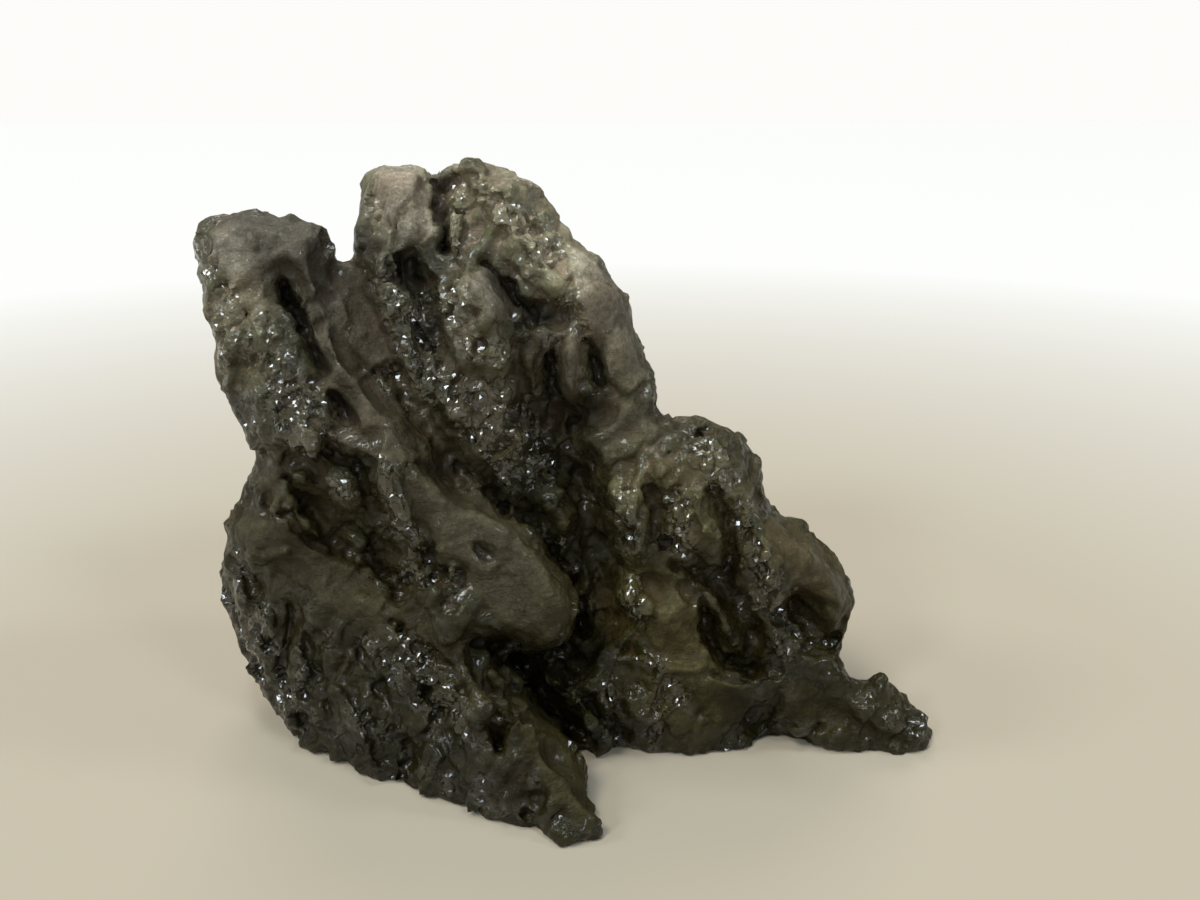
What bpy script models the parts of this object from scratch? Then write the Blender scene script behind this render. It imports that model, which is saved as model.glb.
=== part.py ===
"""A mountain-shaped viewing stone: one dark, water-worn rock, cut flat where it rests.

Units are metres, +Z is up, and the viewer stands on the -Y side.
A viewing stone is made to be looked at from one place, so its relief is laid out on the crest
plane, the upright plane y = 0 under the peaks, as that viewer sees it. A place on that plane is
(x, z) in millimetres. Depth is measured back from the plane, so a negative depth comes forward.
Every place is then carried along the viewer's line of sight to its real depth.
"""

import math

import bmesh
import bpy
import numpy as np
from mathutils import Matrix, Vector, noise

STONE_NAME = "stone"

# The viewer's eye, from which the outlines below were measured
EYE_DISTANCE = 0.405
EYE_HEIGHT = 0.270

MM = 0.001
BLANK_VOXEL = 0.003
SKIN_VOXEL = 0.0024
BLANK_HALF = 0.008
RIM_HALF_THICKNESS = 0.003
SEAM_SMOOTHING = 4
SKIN_SMOOTHING = 2
TRIANGLES_BEFORE_CUT = 12000
GROUND_CUTTER_SIDE = 0.8

# How steep a hollow's walls are, how soon relief fades where the rock turns away from the viewer,
# and how far the ridges and hollows stray from their drawn lines
PIT_WALL_STEEPNESS = 1.6
FACING_GAIN = 2.5
STRAY_WAVE = 0.016
STRAY = 0.008

# The beds of the rock dip steeply down to the right, and weather into ribs of these widths and heights
BED_DIP = math.radians(57)
BED_STRETCH = 2.6
BED_RIBS = ((0.036, 0.022), (0.016, 0.009))
BED_SHARE_IN_FRONT = 0.25
FURROW_LEVEL = 0.115

# How much of this the skin gets where it turns edge-on to the viewer, and how fast that grows behind
SHARE_AT_EDGE = 0.5
BEHIND_GAIN = 1.5

PIT_SPACING = 0.034
PIT_REACH = 0.011
PIT_DEPTH = 0.008

CRUST_WAVE = 0.012
CRUST_RELIEF = 0.0020
CRUST_FADE = 0.9
CRUST_STEP = 2
CRUST_OCTAVES = 3

# Each mass: its outline on the crest plane, the depth of its rim, of its front and of its back,
# how far in from the outline its front and its back curve over, and how much further forward
# it comes for each millimetre to the right and for each millimetre down from the eye.
# An outline that meets the ground carries on below it, for the foot to be cut from.
MASSES = {
    "core": dict(
        outline=[(-140, 133), (-119, 176), (-91, 197), (-46, 222), (-17, 204), (0, 179), (16, 143),
                 (42, 119), (68, 97), (88, 59), (90, 9), (85, -60), (0, -80), (-80, -80), (-122, -55),
                 (-136, -12), (-154, 59)],
        rim=24, front=-6, back=78, front_curve=50, back_curve=85, lean=(0, 0.08)),
    "long_slab": dict(
        outline=[(-157, 218), (-153, 223), (-142, 224), (-131, 225), (-118, 223), (-109, 219),
                 (-104, 210), (-101, 201), (-97, 190), (-91, 173), (-79, 152), (-66, 132), (-56, 108),
                 (-52, 111), (-46, 110), (-37, 104), (-25, 90), (-15, 73), (-10, 57), (-12, 42),
                 (-20, 30), (-44, 34), (-58, 28), (-75, 39), (-85, 59), (-79, 78), (-90, 104),
                 (-102, 117), (-114, 124), (-128, 125), (-144, 130), (-150, 145), (-155, 163),
                 (-157, 179), (-154, 191), (-157, 204)],
        rim=14, front=-5, back=30, front_curve=15, back_curve=24, lean=(0, 0.25)),
    "peak_left": dict(
        outline=[(-97, 206), (-94, 220), (-92, 231), (-89, 239), (-85, 243), (-75, 242), (-66, 242),
                 (-61, 237), (-58, 220), (-57, 191), (-53, 137), (-77, 130), (-96, 170)],
        rim=0, front=-17, back=24, front_curve=16, back_curve=24, lean=(0, 0)),
    "peak_right": dict(
        outline=[(-61, 232), (-60, 238), (-58, 243), (-47, 246), (-42, 243), (-37, 240), (-29, 238),
                 (-22, 236), (-18, 228), (-15, 221), (-10, 213), (0, 179), (-12, 135), (-45, 130),
                 (-60, 190)],
        rim=2, front=-20, back=30, front_curve=18, back_curve=28, lean=(0, 0)),
    "right_upper": dict(
        outline=[(-20, 216), (-10, 212), (0, 206), (6, 200), (11, 193), (13, 179), (17, 170),
                 (19, 163), (23, 156), (24, 147), (25, 120), (0, 100), (-22, 130), (-28, 175)],
        rim=4, front=-19, back=36, front_curve=19, back_curve=34, lean=(0, 0.06)),
    "middle_bed": dict(
        outline=[(-91, 210), (-79, 214), (-70, 207), (-67, 191), (-62, 173), (-51, 150), (-41, 128),
                 (-34, 106), (-50, 108), (-66, 134), (-80, 158), (-89, 183)],
        rim=-4, front=-17, back=20, front_curve=11, back_curve=20, lean=(0, 0.16)),
    "middle_lobe": dict(
        outline=[(-60, 202), (-50, 207), (-41, 201), (-34, 191), (-31, 176), (-36, 158), (-27, 141),
                 (-30, 118), (-40, 122), (-52, 150), (-60, 173)],
        rim=-6, front=-21, back=20, front_curve=12, back_curve=20, lean=(0, 0.14)),
    "right_middle": dict(
        outline=[(8, 150), (24, 145), (34, 141), (38, 142), (43, 139), (59, 136), (60, 129),
                 (65, 125), (68, 117), (67, 108), (66, 78), (35, 59), (2, 74), (-4, 100), (-4, 130)],
        rim=2, front=-20, back=44, front_curve=20, back_curve=40, lean=(0, 0.06)),
    "right_shoulder": dict(
        outline=[(56, 113), (69, 105), (85, 93), (96, 85), (104, 75), (110, 61), (110, 51), (106, 38),
                 (104, 27), (110, 8), (114, -40), (30, -45), (4, -12), (8, 59), (30, 97)],
        rim=-3, front=-25, back=48, front_curve=24, back_curve=45, lean=(0, 0)),
    "right_foot": dict(
        outline=[(92, 42), (104, 31), (111, 22), (121, 14), (120, 20), (127, 21), (132, 17),
                 (136, 10), (144, 6), (152, -4), (158, -19), (158, -40), (96, -45)],
        rim=-14, front=-25, back=10, front_curve=12, back_curve=20, lean=(0, 0)),
    "left_neck": dict(
        outline=[(-142, 134), (-147, 122), (-151, 115), (-151, 104), (-128, 86), (-95, 67), (-69, 67),
                 (-75, 110), (-111, 133)],
        rim=4, front=-10, back=50, front_curve=14, back_curve=50, lean=(0, 0.1)),
    "left_buttress": dict(
        outline=[(-151, 104), (-159, 96), (-163, 84), (-164, 64), (-163, 50), (-159, 34), (-152, 13),
                 (-141, -10), (-132, -34), (-122, -90), (0, -90), (4, -66), (-5, -45), (-18, -12),
                 (-36, 14), (-48, 39), (-62, 58), (-87, 62), (-107, 72), (-120, 90), (-133, 102)],
        rim=-47, front=-62, back=0, front_curve=26, back_curve=40, lean=(0.4, 0.08)),
    "toe": dict(
        outline=[(-60, 24), (-36, 12), (-18, -4), (-7, -26), (-4, -44), (8, -62), (12, -90),
                 (-52, -90), (-68, -50), (-70, -10)],
        rim=-55, front=-71, back=-10, front_curve=20, back_curve=30, lean=(0, 0)),
    "low_ridges": dict(
        outline=[(-28, 30), (-11, 31), (9, 36), (30, 16), (42, -30), (42, -60), (-8, -60),
                 (-12, -14)],
        rim=-8, front=-30, back=30, front_curve=18, back_curve=30, lean=(0, 0)),
}

# Knobs and ridges: a line on the crest plane, how far it reaches to each side and how far it stands out
RIDGES = {
    "lobe_knob_left": dict(path=[(-133, 139), (-132, 133)], reach=11, height=7),
    "lobe_knob_right": dict(path=[(-121, 136), (-120, 130)], reach=10, height=9),
    "recess_knob": dict(path=[(-109, 116), (-104, 112)], reach=11, height=11),
    "recess_bar": dict(path=[(-90, 116), (-84, 99)], reach=9, height=9),
    "recess_pebble": dict(path=[(-84, 74)], reach=11, height=8),
    "neck_knob": dict(path=[(-148, 111)], reach=9, height=5),
    "buttress_block": dict(path=[(-152, 92), (-132, 92)], reach=12, height=7),
    "buttress_rib": dict(path=[(-124, 60), (-114, 14), (-109, -20)], reach=11, height=5),
    "middle_bed_crest": dict(path=[(-83, 190), (-70, 160), (-55, 140)], reach=9, height=5),
    "middle_bed_spur": dict(path=[(-62, 170), (-52, 162), (-42, 164)], reach=9, height=5),
    "lobe_face": dict(path=[(-50, 197), (-42, 182)], reach=14, height=7),
    "bar_left": dict(path=[(-27, 170), (-25, 155)], reach=8, height=7),
    "bar_right": dict(path=[(-11, 172), (-9, 154)], reach=9, height=8),
    "peak_rib_left": dict(path=[(-43, 238), (-42, 215)], reach=7, height=3),
    "peak_rib_right": dict(path=[(-33, 232), (-31, 212)], reach=7, height=3),
    "upper_edge_knob": dict(path=[(20, 155)], reach=8, height=4),
    "spark_lump": dict(path=[(48, 129), (49, 116)], reach=14, height=9),
    "pale_knob": dict(path=[(27, 119), (30, 112)], reach=9, height=8),
    "hanging_lump": dict(path=[(43, 106), (48, 84)], reach=13, height=10),
    "shoulder_crest": dict(path=[(60, 108), (66, 92), (72, 78), (76, 66)], reach=9, height=7),
    "inner_lump": dict(path=[(12, 108), (15, 92), (17, 78)], reach=12, height=9),
    "bright_lump": dict(path=[(12, 59), (23, 54)], reach=11, height=9),
    "round_face": dict(path=[(24, 42), (38, 50)], reach=16, height=7),
    "hollow_rib": dict(path=[(42, 64), (50, 54), (58, 38)], reach=6, height=12),
    "hollow_lip": dict(path=[(20, 28), (45, 18), (68, 18), (76, 32)], reach=9, height=6),
    "shoulder_face": dict(path=[(84, 80), (98, 62), (104, 48)], reach=17, height=6),
    "low_ridge_left": dict(path=[(-28, 26), (-11, 9), (6, -14)], reach=8, height=8),
    "low_ridge_right": dict(path=[(-6, 17), (5, 6), (15, -5)], reach=8, height=7),
    "cavity_knob": dict(path=[(-46, 21)], reach=7, height=9),
    "toe_crest": dict(path=[(-40, 12), (-18, -2), (-8, -19), (-6, -38), (4, -54)], reach=10, height=6),
    "slab_edge": dict(path=[(-36, 100), (-22, 80), (-16, 58)], reach=10, height=4),
}

# Clefts, slots and hollows: the same, and how deep each is cut back into the rock
HOLLOWS = {
    "lobe_cleft": dict(path=[(-124, 197), (-119, 183), (-110, 163)], reach=7, depth=15),
    "lobe_pit": dict(path=[(-108, 153), (-102, 143)], reach=6, depth=11),
    "lobe_dent": dict(path=[(-113, 195)], reach=6, depth=6),
    "valley_top": dict(path=[(-99, 204), (-95, 186), (-86, 164)], reach=10, depth=12),
    "valley_middle": dict(path=[(-86, 164), (-72, 139), (-52, 118)], reach=12, depth=11),
    "valley_low": dict(path=[(-18, 141), (-13, 120), (-6, 98), (-2, 74), (-1, 56), (-5, 40)],
                       reach=13, depth=15),
    "slab_undercut": dict(path=[(-48, 110), (-28, 92), (-14, 74), (-9, 58), (-7, 42)], reach=8, depth=16),
    "peak_slot": dict(path=[(-60, 240), (-59, 223), (-60, 210)], reach=7, depth=15),
    "peak_groove": dict(path=[(-50, 231), (-49, 216)], reach=6, depth=6),
    "peak_nick": dict(path=[(-24, 231), (-22, 226)], reach=4, depth=6),
    "middle_pit": dict(path=[(-73, 200), (-68, 187), (-63, 172)], reach=9, depth=15),
    "pocket": dict(path=[(-42, 204), (-31, 193), (-22, 184), (-15, 181)], reach=12, depth=18),
    "bar_slot_left": dict(path=[(-20, 166), (-18, 152)], reach=5, depth=10),
    "bar_slot_right": dict(path=[(-4, 174), (1, 152)], reach=6, depth=11),
    "under_bars": dict(path=[(-34, 146), (-16, 141), (0, 143)], reach=9, depth=11),
    "great_hollow": dict(path=[(42, 76), (52, 62), (61, 46), (68, 32)], reach=12, depth=22),
    "hollow_floor": dict(path=[(46, 46), (52, 33), (64, 27)], reach=9, depth=22),
    "shoulder_hollow": dict(path=[(90, 54), (94, 40)], reach=11, depth=14),
    "lump_slot_left": dict(path=[(27, 106), (34, 94), (39, 74)], reach=6, depth=9),
    "lump_slot_right": dict(path=[(56, 104), (59, 88), (62, 72)], reach=6, depth=10),
    "side_recess": dict(path=[(-134, 112), (-116, 101), (-98, 90), (-80, 82)], reach=12, depth=11),
    "side_recess_end": dict(path=[(-72, 70), (-60, 68)], reach=6, depth=10),
    "under_lobe": dict(path=[(-142, 122), (-124, 119), (-100, 124)], reach=7, depth=8),
    "slab_pit": dict(path=[(-50, 82)], reach=4.5, depth=8),
    "slab_cavity": dict(path=[(-54, 37), (-44, 31), (-31, 27), (-16, 30)], reach=10, depth=16),
    "toe_channel": dict(path=[(-46, 28), (-29, 13), (-14, -4), (-3, -26)], reach=9, depth=15),
    "toe_hole": dict(path=[(-47, -8), (-48, -14)], reach=6.5, depth=13),
    "foot_notch": dict(path=[(-34, -41), (-31, -66)], reach=6, depth=10),
    "foot_arch": dict(path=[(74, -2), (84, -20), (86, -50)], reach=14, depth=14),
    "low_groove": dict(path=[(-2, 10), (14, -20)], reach=7, depth=8),
    "foot_neck": dict(path=[(102, 16), (112, 2)], reach=8, depth=5),
}


def purge_scene():
    for old in list(bpy.data.objects):
        bpy.data.objects.remove(old, do_unlink=True)


def new_collection(name):
    collection = bpy.data.collections.new(name)
    bpy.context.scene.collection.children.link(collection)
    return collection


def evaluated_mesh(obj):
    bpy.context.view_layer.update()
    graph = bpy.context.evaluated_depsgraph_get()
    return bpy.data.meshes.new_from_object(obj.evaluated_get(graph))


def points_of(mesh):
    points = np.empty(len(mesh.vertices) * 3)
    mesh.vertices.foreach_get("co", points)
    return points.reshape(-1, 3)


def normals_of(mesh):
    normals = np.empty(len(mesh.vertices) * 3)
    mesh.vertex_normals.foreach_get("vector", normals)
    return normals.reshape(-1, 3)


def put_points(mesh, points):
    mesh.vertices.foreach_set("co", np.ascontiguousarray(points, np.float32).ravel())
    mesh.update()


def from_crest_plane(x, z, depth):
    """Carries places (x, z) on the crest plane along the line of sight to a depth."""
    reach = 1 + depth / EYE_DISTANCE
    return np.stack([x * reach, depth, EYE_HEIGHT + (z - EYE_HEIGHT) * reach], axis=1)


def on_crest_plane(points):
    """Where the viewer sees each point, as x and z on the crest plane."""
    reach = 1 + points[:, 1] / EYE_DISTANCE
    return points[:, 0] / reach, EYE_HEIGHT + (points[:, 2] - EYE_HEIGHT) / reach


def distance_to_path(x, z, path, closed=False):
    """Distance of each place on the crest plane from a line through the path's places."""
    corners = np.array(path, float) * MM
    if len(corners) == 1:
        return np.hypot(x - corners[0, 0], z - corners[0, 1])
    ends = np.roll(corners, -1, axis=0) if closed else corners[1:]
    starts = corners if closed else corners[:-1]
    nearest = np.full(len(x), np.inf)
    for start, end in zip(starts, ends):
        run = end - start
        along = ((x - start[0]) * run[0] + (z - start[1]) * run[1]) / (run @ run)
        along = np.clip(along, 0, 1)
        gap = np.hypot(x - start[0] - along * run[0], z - start[1] - along * run[1])
        nearest = np.minimum(nearest, gap)
    return nearest


def remeshed(mesh, voxel, smoothing, collection):
    """The mesh rebuilt as one even skin, with whatever overlaps joined and the seams worn down."""
    obj = bpy.data.objects.new("blank", mesh)
    collection.objects.link(obj)
    remesh = obj.modifiers.new("skin", "REMESH")
    remesh.mode = "VOXEL"
    remesh.voxel_size = voxel
    if smoothing:
        wear = obj.modifiers.new("wear", "SMOOTH")
        wear.iterations = smoothing
    result = evaluated_mesh(obj)
    bpy.data.objects.remove(obj)
    return result


def flat_blank(outline, collection):
    """A thin upright slab of the outline, standing on the crest plane."""
    curve = bpy.data.curves.new("outline", "CURVE")
    curve.dimensions = "2D"
    curve.fill_mode = "BOTH"
    curve.extrude = BLANK_HALF
    spline = curve.splines.new("POLY")
    spline.points.add(len(outline) - 1)
    for point, (x, z) in zip(spline.points, outline):
        point.co = (x * MM, z * MM, 0, 1)
    spline.use_cyclic_u = True
    obj = bpy.data.objects.new("outline", curve)
    collection.objects.link(obj)
    mesh = evaluated_mesh(obj)
    bpy.data.objects.remove(obj)
    mesh.transform(Matrix.Rotation(math.radians(90), 4, "X"))
    return remeshed(mesh, BLANK_VOXEL, 0, collection)


def dome(inward, curve):
    """0 at a mass's rim, rising as a quarter circle to 1 where its face levels out."""
    share = np.clip(inward / curve, 0, 1)
    return np.sqrt(1 - (1 - share) ** 2)


def rock_mass(form, collection):
    """One mass: the outline's blank, swollen to its front and its back and leaning forward."""
    mesh = flat_blank(form["outline"], collection)
    points = points_of(mesh)
    x, z = points[:, 0], points[:, 2]
    side = np.clip(points[:, 1] / BLANK_HALF, -1, 1)
    inward = distance_to_path(x, z, form["outline"], closed=True)
    forward = (form["rim"] - form["front"]) * MM * dome(inward, form["front_curve"] * MM)
    backward = (form["back"] - form["rim"]) * MM * dome(inward, form["back_curve"] * MM)
    swell = np.where(side < 0, forward, backward) + RIM_HALF_THICKNESS
    right, down = form["lean"]
    lean = right * x + down * (EYE_HEIGHT - z)
    put_points(mesh, from_crest_plane(x, z, form["rim"] * MM + side * swell - lean))
    return mesh


def joined(meshes):
    work = bmesh.new()
    for mesh in meshes:
        work.from_mesh(mesh)
    whole = bpy.data.meshes.new("masses")
    work.to_mesh(whole)
    work.free()
    return whole


def hump(distance, reach):
    """1 on a feature's line, falling smoothly to 0 at its reach."""
    share = np.clip(distance / reach, 0, 1)
    return (1 - share**2) ** 2


def pit(distance, reach):
    """As hump, with a flatter floor and steeper walls."""
    share = np.clip(PIT_WALL_STEEPNESS * (1 - distance / reach), 0, 1)
    return share * share * (3 - 2 * share)


def carve_front(mesh):
    """Raises the ridges and cuts the hollows, along the line of sight, on what faces the viewer."""
    points = points_of(mesh)
    sight = points - np.array([0, -EYE_DISTANCE, EYE_HEIGHT])
    sight /= np.linalg.norm(sight, axis=1, keepdims=True)
    facing = np.clip(-FACING_GAIN * (normals_of(mesh) * sight).sum(axis=1), 0, 1)
    stray = np.array([noise.noise_vector(Vector(point) / STRAY_WAVE) for point in points]) * STRAY
    x, z = on_crest_plane(points)
    x, z = x + stray[:, 0], z + stray[:, 2]
    raised = np.zeros(len(points))
    for form in RIDGES.values():
        near = hump(distance_to_path(x, z, form["path"]), form["reach"] * MM)
        raised += form["height"] * MM * near
    cut = np.zeros(len(points))
    for form in HOLLOWS.values():
        near = pit(distance_to_path(x, z, form["path"]), form["reach"] * MM)
        cut = np.maximum(cut, form["depth"] * MM * near)
    put_points(mesh, points + sight * ((cut - raised) * facing)[:, None])


def rib_height(place):
    """How far the beds stand out at a place: sharp crests with worn furrows between them."""
    height = 0
    for width, relief in BED_RIBS:
        furrow = abs(noise.noise(Vector((place.x / BED_STRETCH, place.y, place.z)) / width))
        height += relief * (FURROW_LEVEL - furrow)
    return height


def weather(mesh):
    """Gives the crust its lumps and, out of the viewer's sight, wears the beds into ribs and pits."""
    points = points_of(mesh)
    normals = normals_of(mesh)
    along_beds = Matrix.Rotation(-BED_DIP, 3, "Y")
    behind = np.clip(SHARE_AT_EDGE + BEHIND_GAIN * normals[:, 1], 0, 1)
    moved = np.empty_like(points)
    for index, (point, normal) in enumerate(zip(points, normals)):
        place = Vector(point)
        rib_share = BED_SHARE_IN_FRONT + (1 - BED_SHARE_IN_FRONT) * behind[index]
        rib = rib_height(along_beds @ place) * rib_share
        to_pit = noise.voronoi(place / PIT_SPACING)[0][0] * PIT_SPACING
        dent = PIT_DEPTH * hump(to_pit, PIT_REACH) * behind[index]
        lumps = noise.fractal(place / CRUST_WAVE, CRUST_FADE, CRUST_STEP, CRUST_OCTAVES)
        moved[index] = point + normal * (rib - dent + lumps * CRUST_RELIEF)
    put_points(mesh, moved)


def stone_material():
    material = bpy.data.materials.new("wet_dark_rock")
    material.use_nodes = True
    shader = material.node_tree.nodes["Principled BSDF"]
    shader.inputs["Base Color"].default_value = (0.045, 0.043, 0.034, 1)
    shader.inputs["Roughness"].default_value = 0.3
    shader.inputs["Metallic"].default_value = 0.0
    return material


def ground_cutter(collection):
    """A block whose top is the resting plane, z = 0."""
    half = GROUND_CUTTER_SIDE / 2
    bpy.ops.mesh.primitive_cube_add(size=GROUND_CUTTER_SIDE, location=(0, 0, -half))
    cutter = bpy.context.object
    cutter.name = "ground_cutter"
    for other in list(cutter.users_collection):
        other.objects.unlink(cutter)
    collection.objects.link(cutter)
    cutter.hide_render = True
    cutter.display_type = "WIRE"
    return cutter


def thinned_and_cut(mesh, collection):
    """The mesh brought down to its triangle budget, with its foot cut flat."""
    stone = bpy.data.objects.new("uncut", mesh)
    collection.objects.link(stone)
    triangles = 2 * len(mesh.polygons)
    thin = stone.modifiers.new("thin", "DECIMATE")
    thin.ratio = TRIANGLES_BEFORE_CUT / triangles
    foot = stone.modifiers.new("foot", "BOOLEAN")
    foot.operation = "DIFFERENCE"
    foot.object = ground_cutter(collection)
    result = evaluated_mesh(stone)
    bpy.data.objects.remove(stone)
    return result


def stone_in_view(collection):
    """The finished stone, still where the viewer's lines of sight put it."""
    masses = [rock_mass(form, collection) for form in MASSES.values()]
    skin = remeshed(joined(masses), SKIN_VOXEL, SEAM_SMOOTHING, collection)
    carve_front(skin)
    skin = remeshed(skin, SKIN_VOXEL, SKIN_SMOOTHING, collection)
    weather(skin)
    return thinned_and_cut(skin, collection)


def put_origin_under_middle(mesh):
    """Moves the mesh so that the origin is at the middle of the underside of its box."""
    points = points_of(mesh)
    middle = (points.min(axis=0) + points.max(axis=0)) / 2
    mesh.transform(Matrix.Translation((-middle[0], -middle[1], 0)))


def build():
    purge_scene()
    parts = new_collection("viewing_stone")
    helpers = new_collection("cutters")
    mesh = stone_in_view(helpers)
    put_origin_under_middle(mesh)
    stone = bpy.data.objects.new(STONE_NAME, mesh)
    parts.objects.link(stone)
    stone.data.materials.append(stone_material())


build()
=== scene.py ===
import math

import bpy
import bmesh
import numpy as np
from mathutils import Matrix, Vector
from mathutils.bvhtree import BVHTree


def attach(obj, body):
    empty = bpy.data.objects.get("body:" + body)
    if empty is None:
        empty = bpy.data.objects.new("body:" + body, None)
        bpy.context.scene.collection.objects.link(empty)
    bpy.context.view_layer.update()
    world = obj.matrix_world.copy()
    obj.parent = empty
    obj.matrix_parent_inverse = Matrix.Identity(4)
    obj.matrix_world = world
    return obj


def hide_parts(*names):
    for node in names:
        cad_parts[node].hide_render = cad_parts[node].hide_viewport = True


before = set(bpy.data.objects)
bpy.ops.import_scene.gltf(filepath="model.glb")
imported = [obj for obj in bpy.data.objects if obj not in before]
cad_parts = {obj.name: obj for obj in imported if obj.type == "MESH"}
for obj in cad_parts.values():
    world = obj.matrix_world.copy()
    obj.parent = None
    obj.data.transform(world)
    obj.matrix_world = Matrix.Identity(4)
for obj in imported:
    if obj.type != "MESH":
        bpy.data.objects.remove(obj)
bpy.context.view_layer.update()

scene = bpy.context.scene
mm = 0.001
farOff = 9.0  # further than anything on the stone


# camera

view = {
    "eye": (0.01067, -0.39864, 0.270),  # metres, in front of the stone's display face
    "tilt": 19.3,                       # degrees that it looks down
    "focal": 1040.0,                    # pixels of a 1200 x 900 picture
    "width": 1200,
    "height": 900,
    "sensor": 36.0,
}


def makeCamera():
    lens = bpy.data.cameras.new("viewer")
    lens.sensor_width = view["sensor"]
    lens.lens = view["focal"] / view["width"] * view["sensor"]
    lens.clip_start = 0.01
    holder = bpy.data.objects.new("viewer", lens)
    holder.location = view["eye"]
    holder.rotation_euler = (math.radians(90 - view["tilt"]), 0, 0)
    scene.collection.objects.link(holder)
    scene.camera = holder


makeCamera()
print("camera ready")


# number helpers for arrays of points

def smoothStep(low, high, value):
    part = np.clip((value - low) / (high - low), 0, 1)
    return part * part * (3 - 2 * part)


def latticeValue(ix, iy, iz, seed):  # a repeatable value from -1 to 1 for each lattice corner
    mixed = (ix * 374761393 + iy * 668265263 + iz * 2147483647 + seed * 974634777) & 0xFFFFFFFF
    mixed = ((mixed ^ (mixed >> 13)) * 1274126177) & 0xFFFFFFFF
    mixed = mixed ^ (mixed >> 16)
    return (mixed & 0xFFFF) / 32767.5 - 1


def softNoise(points, size, seed):
    spot = points / size
    base = np.floor(spot).astype(np.int64)
    fade = spot - base
    fade = fade * fade * (3 - 2 * fade)
    total = np.zeros(len(points))
    for dx in (0, 1):
        for dy in (0, 1):
            for dz in (0, 1):
                share = np.abs(1 - dx - fade[:, 0]) * np.abs(1 - dy - fade[:, 1])
                share = share * np.abs(1 - dz - fade[:, 2])
                corner = latticeValue(base[:, 0] + dx, base[:, 1] + dy, base[:, 2] + dz, seed)
                total += share * corner
    return total


def layeredNoise(points, size, seed, layers=3):
    total = np.zeros(len(points))
    strength = 1.0
    for layer in range(layers):
        total += strength * softNoise(points + layer * 7.31, size, seed + layer)
        size *= 0.5
        strength *= 0.5
    return total


# mesh helpers

def bareMesh(thing, name):  # the result of the modifiers, as a plain mesh
    depsgraph = bpy.context.evaluated_depsgraph_get()
    mesh = bpy.data.meshes.new_from_object(thing.evaluated_get(depsgraph))
    mesh.name = name
    thing.modifiers.clear()
    thing.data = mesh
    return mesh


def pointsOf(mesh):
    flat = np.empty(len(mesh.vertices) * 3)
    mesh.vertices.foreach_get("co", flat)
    return flat.reshape(-1, 3)


def normalsOf(mesh):
    flat = np.empty(len(mesh.vertices) * 3, dtype=np.float32)
    mesh.vertex_normals.foreach_get("vector", flat)
    return flat.reshape(-1, 3).astype(float)


def putPoints(mesh, points):
    mesh.vertices.foreach_set("co", points.ravel())
    mesh.update()


def reskin(thing, voxel, settle=0):
    skin = thing.modifiers.new("skin", "REMESH")
    skin.mode = "VOXEL"
    skin.voxel_size = voxel
    skin.use_smooth_shade = True
    if settle:
        calm = thing.modifiers.new("settle", "SMOOTH")
        calm.iterations = settle
        calm.factor = 0.5
    return bareMesh(thing, thing.name)


def neighbourMean(mesh, values, rounds):
    edges = np.empty(len(mesh.edges) * 2, dtype=np.int64)
    mesh.edges.foreach_get("vertices", edges)
    first, second = edges[0::2], edges[1::2]
    count = np.bincount(edges, minlength=len(mesh.vertices)).astype(float)
    count[count == 0] = 1
    flat = values if values.ndim == 2 else values[:, None]
    for _ in range(rounds):
        summed = np.empty_like(flat)
        for axis in range(flat.shape[1]):
            summed[:, axis] = np.bincount(first, flat[second, axis], len(count))
            summed[:, axis] += np.bincount(second, flat[first, axis], len(count))
        flat = flat * 0.4 + summed / count[:, None] * 0.6
    return flat if values.ndim == 2 else flat[:, 0]


# places on the display face, read as pixels of the picture

def pictureView(points):
    tilt = math.radians(view["tilt"])
    ray = points - np.array(view["eye"])
    ahead = ray @ np.array((0, math.cos(tilt), -math.sin(tilt)))
    above = ray @ np.array((0, math.sin(tilt), math.cos(tilt)))
    u = view["width"] / 2 + view["focal"] * ray[:, 0] / ahead
    v = view["height"] / 2 - view["focal"] * above / ahead
    sight = ray / np.linalg.norm(ray, axis=1)[:, None]
    return u, v, ahead, sight


def sightThrough(pixel):  # direction from the eye through a pixel
    tilt = math.radians(view["tilt"])
    side = (pixel[0] - view["width"] / 2) / view["focal"]
    up = (view["height"] / 2 - pixel[1]) / view["focal"]
    ahead = Vector((0, math.cos(tilt), -math.sin(tilt)))
    above = Vector((0, math.sin(tilt), math.cos(tilt)))
    return (ahead + above * up + Vector((side, 0, 0))).normalized()


def behindFront(u, v, ahead, grain):  # how far behind the nearest point in its patch of pixels
    patches = 512
    column = np.clip(np.floor(u / grain).astype(np.int64), 0, patches - 1)
    row = np.clip(np.floor(v / grain).astype(np.int64), 0, patches - 1)
    cell = column * patches + row
    nearest = np.full(patches * patches, farOff)
    np.minimum.at(nearest, cell, ahead)
    return ahead - nearest[cell]


def shownShare(u, v, ahead, sight, normals):  # 1 on the surface that the viewer sees, 0 behind it
    front = 1 - smoothStep(*stoneLook["frontFade"], behindFront(u, v, ahead, 4))
    facing = smoothStep(-0.05, 0.22, -(normals * sight).sum(axis=1))
    return front * facing


def strokeReach(u, v, path, widths):  # 0 on the path, 1 at its edge
    reach = np.full(len(u), farOff)
    spots = list(zip(path, widths))
    if len(spots) == 1:
        spots = spots * 2
    for (start, startWidth), (end, endWidth) in zip(spots[:-1], spots[1:]):
        du, dv = end[0] - start[0], end[1] - start[1]
        length = max(du * du + dv * dv, 1e-6)
        along = np.clip(((u - start[0]) * du + (v - start[1]) * dv) / length, 0, 1)
        away = np.hypot(u - start[0] - along * du, v - start[1] - along * dv)
        reach = np.minimum(reach, away / (startWidth + along * (endWidth - startWidth)))
    return reach


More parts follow.
